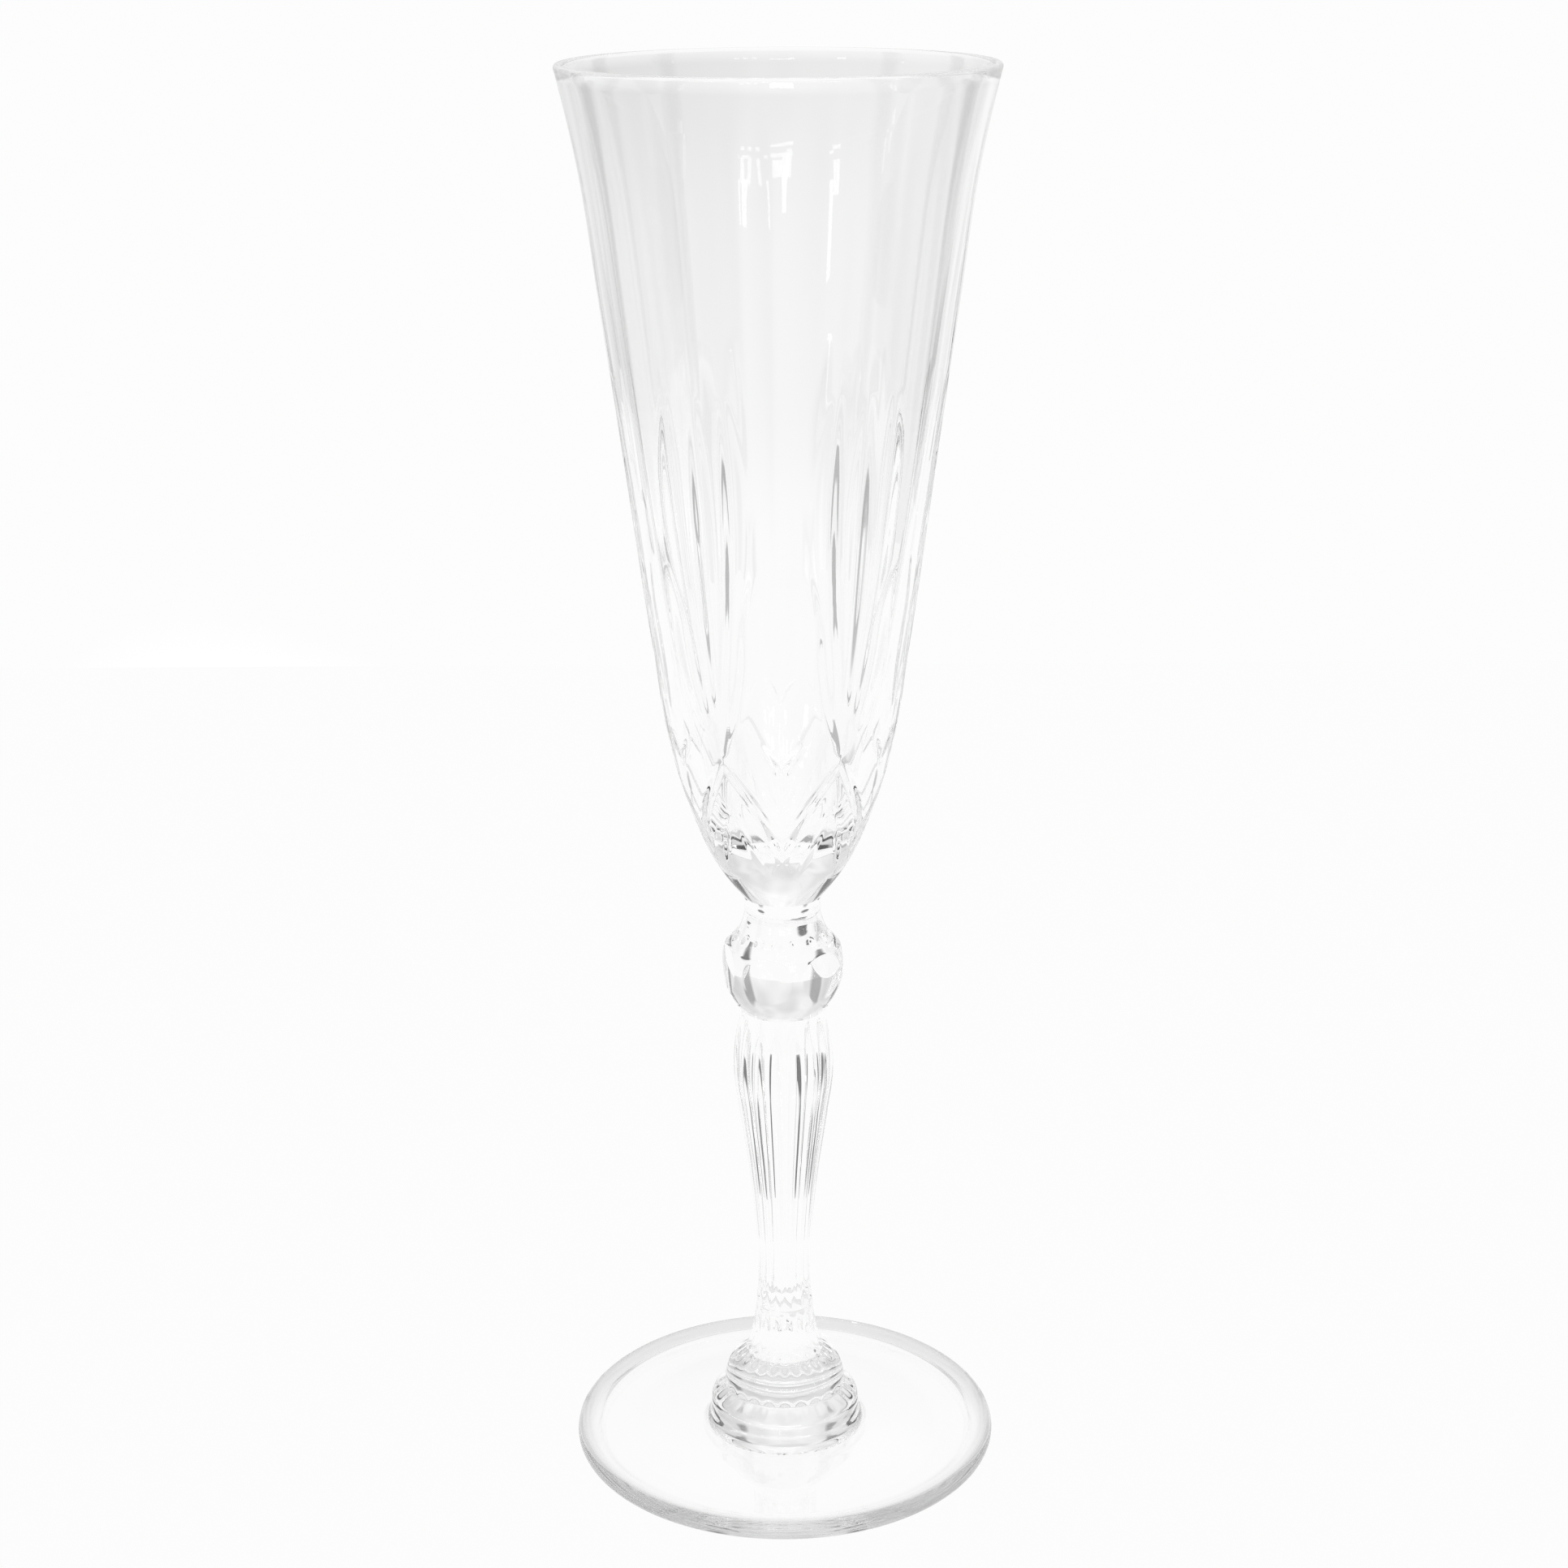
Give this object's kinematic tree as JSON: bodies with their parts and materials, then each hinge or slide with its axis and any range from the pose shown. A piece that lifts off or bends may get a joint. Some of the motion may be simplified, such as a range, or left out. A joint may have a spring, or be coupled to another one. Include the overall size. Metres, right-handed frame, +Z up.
{
  "type": "champagne flute",
  "caption": "Tall clear glass champagne flute with a flared cut bowl, faceted ball knop, fluted baluster stem and round beaded foot.",
  "frame": {"origin": "centre of the ring that the foot rests on", "axes": "+Z up along the stem to the open mouth; -Y is the front, where a lancet of the bowl faces"},
  "size_m": [0.065, 0.065, 0.21],
  "materials": {
    "foot_glass": "clear, colourless, fire-polished",
    "foot_boss_glass": "clear, colourless, fire-polished",
    "stem_glass": "clear, colourless, fire-polished",
    "knop_glass": "clear, colourless, fire-polished",
    "collar_glass": "clear, colourless, fire-polished",
    "bowl_glass": "clear, colourless, fire-polished"
  },
  "bodies": {
    "root": {"foot": "foot_glass", "foot_boss": "foot_boss_glass", "stem": "stem_glass", "knop": "knop_glass", "collar": "collar_glass", "bowl": "bowl_glass"}
  },
  "joints": []
}
